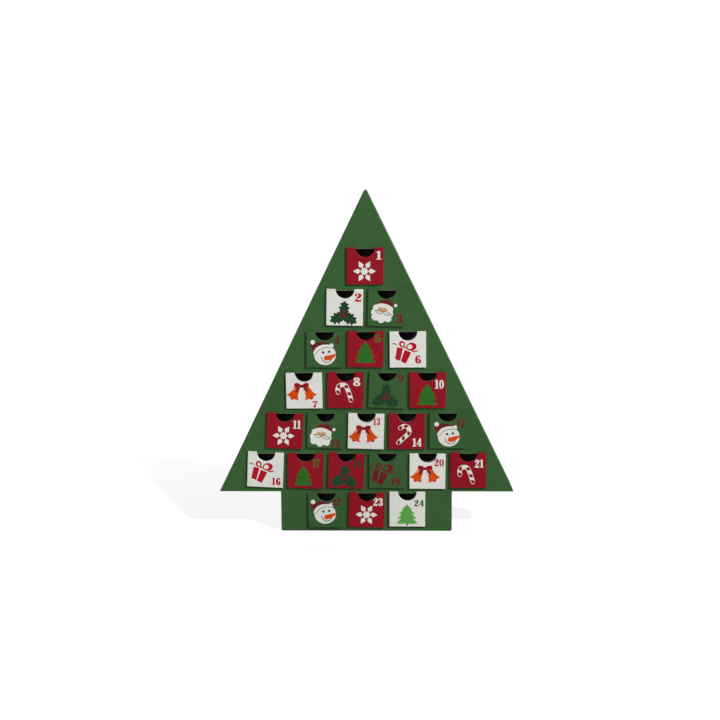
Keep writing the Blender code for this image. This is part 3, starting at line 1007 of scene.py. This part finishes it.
# %% What is on each front
PRINTS = {
    1: ("red", snowflake(), (-0.8, -6.7), "white", (14.2, 8.1, 20.5, 18.8)),
    2: ("white", holly(), (0, 0), "ruby", (12.3, 7.5, 21.4, 18.2)),
    3: ("green", bearded_head(), (0, 0), "dark_red", (12.8, -19.0, 21.3, -7.8)),
    4: ("green", snowman(), (0, 0), "dark_red", (13.0, 7.0, 19.0, 16.6)),
    5: ("red", fir_tree("leaf_green", 10.4, -17.0, 14.0), (-0.2, 0.0), "leaf_green", (11.0, 9.2, 20.0, 19.2)),
    6: ("white", gift("ruby", "white"), (0, 0), "ruby", (9.2, -18.2, 16.7, -7.6)),
    7: ("white", bells(), (-0.2, 0.9), "ruby", (10.6, -22.2, 17.2, -13.6)),
    8: ("red", cane(HOOK_LEFT), (0, 0), "white", (9.9, 5.6, 19.3, 17.0)),
    9: ("green", holly(), (-0.4, 0.3), "dark_red", (13.2, 12.0, 21.4, 20.8)),
    10: ("red", fir_tree("leaf_green", 8.8, -18.5, 14.0), (-0.3, 0.0), "white", (9.2, 2.3, 20.9, 13.6)),
    11: ("red", snowflake(), (-1.3, -6.3), "white", (10.6, 3.6, 20.8, 14.4)),
    12: ("green", bearded_head(), (-0.9, -1.8), "dark_red", (7.9, -21.8, 19.2, -11.4)),
    13: ("white", bells(), (-0.4, -1.5), "ruby", (8.9, 8.4, 17.9, 18.2)),
    14: ("red", cane(HOOK_OVER), (0, 0), "white", (7.3, -19.9, 18.9, -9.0)),
    15: ("green", snowman(), (0.9, -0.6), "dark_red", (11.6, 4.8, 22.4, 14.8)),
    16: ("white", gift("ruby", "white"), (-1.6, 0.2), "ruby", (8.7, -20.0, 20.3, -9.9)),
    17: ("red", fir_tree("leaf_green", 7.1, -18.9, 13.0), (-2.5, 0.0), "leaf_green", (9.4, 5.6, 18.8, 16.2)),
    18: ("red", holly(), (-1.0, 0.1), "holly_green", (9.2, 5.2, 19.2, 15.2)),
    19: ("green", gift("dark_red", "green"), (-3.6, -0.8), "dark_red", (4.6, -19.8, 16.4, -10.2)),
    20: ("white", bells(), (-0.2, -1.5), "ruby", (8.5, 7.0, 21.2, 16.4)),
    21: ("red", cane(HOOK_LEFT), (-1.5, -2.6), "white", (8.2, 3.7, 19.8, 14.4)),
    22: ("green", snowman(), (-2.0, 1.9), "dark_red", (7.6, 6.4, 19.2, 15.8)),
    23: ("red", snowflake(), (0.1, -6.2), "white", (8.4, 6.0, 20.9, 16.6)),
    24: ("white", fir_tree("fir_green", 7.4, -19.0, 14.8, trunk=True), (-0.4, 0.0), "leaf_green",
         (8.7, 4.2, 21.6, 12.7)),
}
used_grounds = [row[0] for row in PRINTS.values()]
print("fronts of each ground:", {ground: used_grounds.count(ground) for ground in SLOTS})
print("outlines to print:", sum(len(outlines) for row in PRINTS.values() for _, outlines in row[1]))

# %% [markdown]
# The fronts were glued on by hand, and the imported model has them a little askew. The angles could be
# written down here again, but then they would have to be kept the same in two places. So the lean of a
# front is read back from the direction that its lower edge faces, and its size is measured along its own
# two directions. Print and board turn together that way.

# %% How a front lies


def lie_of(node):
    """A front's middle, its own right and up, and its half-width and half-height in mm."""
    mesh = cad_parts[node].data
    below = max((face for face in mesh.polygons if face.normal.z < -0.9), key=lambda face: face.area)
    lean = atan2(-below.normal.x, -below.normal.z)
    right = Vector((cos(lean), 0, -sin(lean)))
    above = Vector((sin(lean), 0, cos(lean)))
    across, up = ([vert.co.dot(axis) for vert in mesh.vertices] for axis in (right, above))
    middle = right * (max(across) + min(across)) / 2 + above * (max(up) + min(up)) / 2
    return middle, right, above, (max(across) - min(across)) / 2 / MM, (max(up) - min(up)) / 2 / MM


middle, right, above, half_width, half_height = lie_of("front_16")
print("front 16 is", round(2 * half_width, 2), "by", round(2 * half_height, 2), "mm")
print("and leans", round(degrees(atan2(above.x, above.z)), 2), "degrees to the right")

# %% [markdown]
# A front is a small square board with a half-round notch for the finger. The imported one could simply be
# bevelled, but the print has to be cut into its face, so it is built anew from rings. Its outline is
# drawn in by the radius of the edge, and then widens step by step as it goes back, which rounds the edge.

# %% Outline of a front
NOTCH_RADIUS = 12.0
NOTCH_STEPS = 32
FRONT_EDGE = 0.5
EDGE_STEPS = 3


def front_outline(across, up):
    notch = [(NOTCH_RADIUS * cos(-pi * step / NOTCH_STEPS), up + NOTCH_RADIUS * sin(-pi * step / NOTCH_STEPS))
             for step in range(NOTCH_STEPS + 1)]
    return [(-across, -up), (across, -up), (across, up)] + notch + [(-across, up)]


def drawn_in(points, distance):
    """The outline moved inwards, which is to the left of its direction."""
    found = []
    for i, here in enumerate(points):
        here, after = Vector(here), Vector(points[(i + 1) % len(points)])
        into = (here - Vector(points[i - 1])).normalized()
        out_of = (after - here).normalized()
        side = Vector((-into.y, into.x))
        middle = (side + Vector((-out_of.y, out_of.x))).normalized()
        found.append(here + middle * distance / middle.dot(side))
    return found


def edge_rings(outline, depth):
    """The rings of a front from its flat face to its back, as points with how far back they lie."""
    rings = []
    for step in range(EDGE_STEPS + 1):
        angle = pi / 2 * step / EDGE_STEPS
        ring = drawn_in(outline, FRONT_EDGE * (1 - sin(angle)))
        rings.append([(point, FRONT_EDGE * (1 - cos(angle))) for point in ring])
    return rings + [[(point, depth) for point in outline]]


print("the outline of a front has", len(front_outline(half_width, half_height)), "corners")

# %% [markdown]
# The flat face inside the first ring is cut up along all the outlines of the print. Thin shapes laid on
# the face would be easier, but they would stand out of it or flicker where they touch it. One call cuts
# everything at once and tells which outlines cover each triangle, and the triangle takes the ink of the
# topmost of them. So the print is perfectly flush.

# %% Cut the print into the face
TOUCH = 0.001
INSIDE_ONLY = 1
CUT_WITHIN = 0.0005


def counter_clockwise(points):
    twice_area = sum(a[0] * b[1] - b[0] * a[1] for a, b in zip(points, points[1:] + points[:1]))
    return points if twice_area > 0 else points[::-1]


def prints_on(number):
    """All that is printed on a front: its motif in its place, and its number."""
    ground, motif, place, ink, number_box = PRINTS[number]
    return ([(colour, moved(outlines, *place)) for colour, outlines in motif]
            + figures(number, *number_box, ink, ground))


def cut_print(outline, prints):
    """The corners and triangles of a printed face, and the ink of each triangle."""
    corners = [Vector(point) for point in outline]
    faces = [list(range(len(corners)))]
    inks = [None]
    for ink, outlines in prints:
        for points in outlines:
            faces.append(list(range(len(corners), len(corners) + len(points))))
            corners += [Vector(point) for point in counter_clockwise(points)]
            inks.append(ink)
    corners, _, triangles, _, _, covers = delaunay_2d_cdt(corners, [], faces, INSIDE_ONLY, CUT_WITHIN)
    kept = [(triangle, inks[max(cover)]) for triangle, cover in zip(triangles, covers) if 0 in cover]
    return corners, kept


def on_edge(corners, start, end):
    """Which of the corners lie between the two ends of an edge, in order from its start."""
    along = (end - start).normalized()
    found = []
    for i, corner in enumerate(corners):
        distance = (corner - start).dot(along)
        if TOUCH < distance < (end - start).length - TOUCH and abs((corner - start).cross(along)) < TOUCH:
            found.append((distance, i))
    return [i for distance, i in sorted(found)]


# %% [markdown]
# The last step of a front puts the triangles and the rings together. Where a print runs off the edge, the
# cut leaves extra corners there. They could be left hanging, but the mesh would then have slits, so the
# first ring takes them in and the piece stays closed. The rounded edge, the sides and the back share the
# worn ink.

# %% Build the printed fronts
WELD_WITHIN = 0.000001
SHARP_FROM = radians(50)


def make_front(number):
    node = f"front_{number:02d}"
    low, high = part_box(node)
    middle, right, above, half_width, half_height = lie_of(node)
    origin = Vector((middle.x, low.y, middle.z))
    shape = bmesh.new()

    def vert(point, back):
        return shape.verts.new(origin + (right * point[0] + above * point[1] + Vector((0, back, 0))) * MM)

    outline = front_outline(half_width, half_height)
    flat = drawn_in(outline, FRONT_EDGE)
    corners, triangles = cut_print(flat, prints_on(number))
    ground = PRINTS[number][0]
    used = [ground] + sorted({colour for _, colour in triangles if colour} - {ground})
    verts = [vert(corner, 0) for corner in corners]
    for triangle, colour in triangles:
        face = shape.faces.new([verts[i] for i in triangle])
        face.material_index = used.index(colour or ground)
    rings = [[vert(point, back) for point, back in ring]
             for ring in edge_rings(outline, (high.y - low.y) / MM)]
    edge = [shape.faces.new((near[i - 1], near[i], far[i], far[i - 1]))
            for near, far in zip(rings[1:], rings[2:]) for i in range(len(near))]
    for i, (near, far) in enumerate(zip(rings[0], rings[1])):
        extra = [verts[k] for k in on_edge(corners, flat[i - 1], flat[i])]
        edge.append(shape.faces.new([rings[0][i - 1], *extra, near, far, rings[1][i - 1]]))
    for face in edge + [shape.faces.new(rings[-1])]:
        face.material_index = len(used)
    bmesh.ops.remove_doubles(shape, verts=shape.verts, dist=WELD_WITHIN)
    bmesh.ops.recalc_face_normals(shape, faces=shape.faces)
    loose = sum(not edge.is_manifold for edge in shape.edges)
    finishes = [ink_finishes[name] for name in used] + [edge_finishes[ground]]
    front = piece_from(shape, f"printed_{node}", finishes, f"drawer_{number:02d}")
    front.data.set_sharp_from_angle(angle=SHARP_FROM)
    keep_flats_flat(front)
    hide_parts(node)
    return len(front.data.polygons), loose


made = [make_front(number) for number in DRAWERS]
print(len(made), "fronts with", sum(faces for faces, _ in made), "faces")
print("open edges in them:", sum(loose for _, loose in made))

# %% [markdown]
# A picture of a studio could light the scene, but with three lamps it is plain what each of them does. A
# soft key lamp high on the right draws a thin shadow on the left and lower side of every front, as in the
# photograph. A weak broad lamp beside the camera and a faint light from all round lift the shadows, and
# reach a little way into the finger notches. A third lamp stands behind on the left, so the back and the
# left slope are lit too; the front doesn't see it. The background is white only where it is seen,
# directly or in a reflection, so it adds no light of its own to the print.

# %% Lamps and world
# Each lamp's place, its width and its power in watts.
LAMPS = {
    "key": ((2.9, -2.95, 3.2), 0.63, 289.0),
    "fill": ((-0.4, -2.9, 0.75), 1.0, 5.0),
    "back": ((-2.0, 2.3, 1.7), 1.4, 120.0),
}
LAMP_AIM = Vector((0, 0, 0.22))
WORLD_LIGHT = 0.01
WHITE = (1, 1, 1, 1)


def make_lamp(name, place, size, power):
    data = bpy.data.lights.new(name, "AREA")
    data.shape = "DISK"
    data.size = size
    data.energy = power
    lamp = placed(name, data)
    lamp.location = place
    lamp.rotation_euler = (LAMP_AIM - Vector(place)).to_track_quat("-Z", "Y").to_euler()


def make_world():
    world = Finish(bpy.data.worlds.new("studio"))
    lighting, backdrop = (world.node("Background", {}, {"Color": WHITE, "Strength": strength})
                          for strength in (WORLD_LIGHT, 1.0))
    both = world.node("MixShader", {}, {0: world.seen_directly(), 1: lighting, 2: backdrop})
    world.node("OutputWorld", {}, {"Surface": both})
    bpy.context.scene.world = world.owner


for name, lamp in LAMPS.items():
    make_lamp(name, *lamp)
make_world()
bpy.context.scene.view_settings.view_transform = "Standard"
print("lamps:", {name: f"{power} W" for name, (_, _, power) in LAMPS.items()})

# %% [markdown]
# The floor is a large pale sheet. A sheet that curves up behind the tree is the usual studio way, but it
# would stand in the view from other sides. This one stays flat: to the camera it also glows a little near
# the tree, and it is fully white from a metre and a half on. So it meets the white background without a
# line, and only the shadow by the foot is left to be seen.

# %% Floor
FLOOR_SIDE = 60.0
FLOOR_DROP = 0.0003
FLOOR_GLOW = 0.66
FLOOR_TONE = 0.45
FADE_FROM = 0.45
FADE_TO = 1.6


def make_floor():
    finish = Finish(bpy.data.materials.new("pale_floor"))
    place = finish.node("TexCoord", {}, {}, "Object")
    distance = finish.node("VectorMath", {"operation": "LENGTH"}, {0: place}, "Value")
    away = distance.above(FADE_FROM, FADE_TO)
    plain = finish.node("BsdfDiffuse", {}, {"Color": (FLOOR_TONE, FLOOR_TONE, FLOOR_TONE, 1)})
    glow, white = (finish.node("Emission", {}, {"Color": WHITE, "Strength": strength})
                   for strength in (FLOOR_GLOW, 1.0))
    near = finish.node("AddShader", {}, {0: plain, 1: glow})
    seen = finish.node("MixShader", {}, {0: away, 1: near, 2: white})
    surface = finish.node("MixShader", {}, {0: finish.seen_directly(), 1: plain, 2: seen})
    finish.node("OutputMaterial", {}, {"Surface": surface})
    shape = bmesh.new()
    bmesh.ops.create_grid(shape, x_segments=1, y_segments=1, size=FLOOR_SIDE / 2)
    mesh = bpy.data.meshes.new("floor")
    shape.to_mesh(mesh)
    shape.free()
    mesh.materials.append(finish.owner)
    floor = placed("floor", mesh)
    floor.location.z = -FLOOR_DROP


make_floor()
print("floor laid", FLOOR_DROP / MM, "mm below the foot")
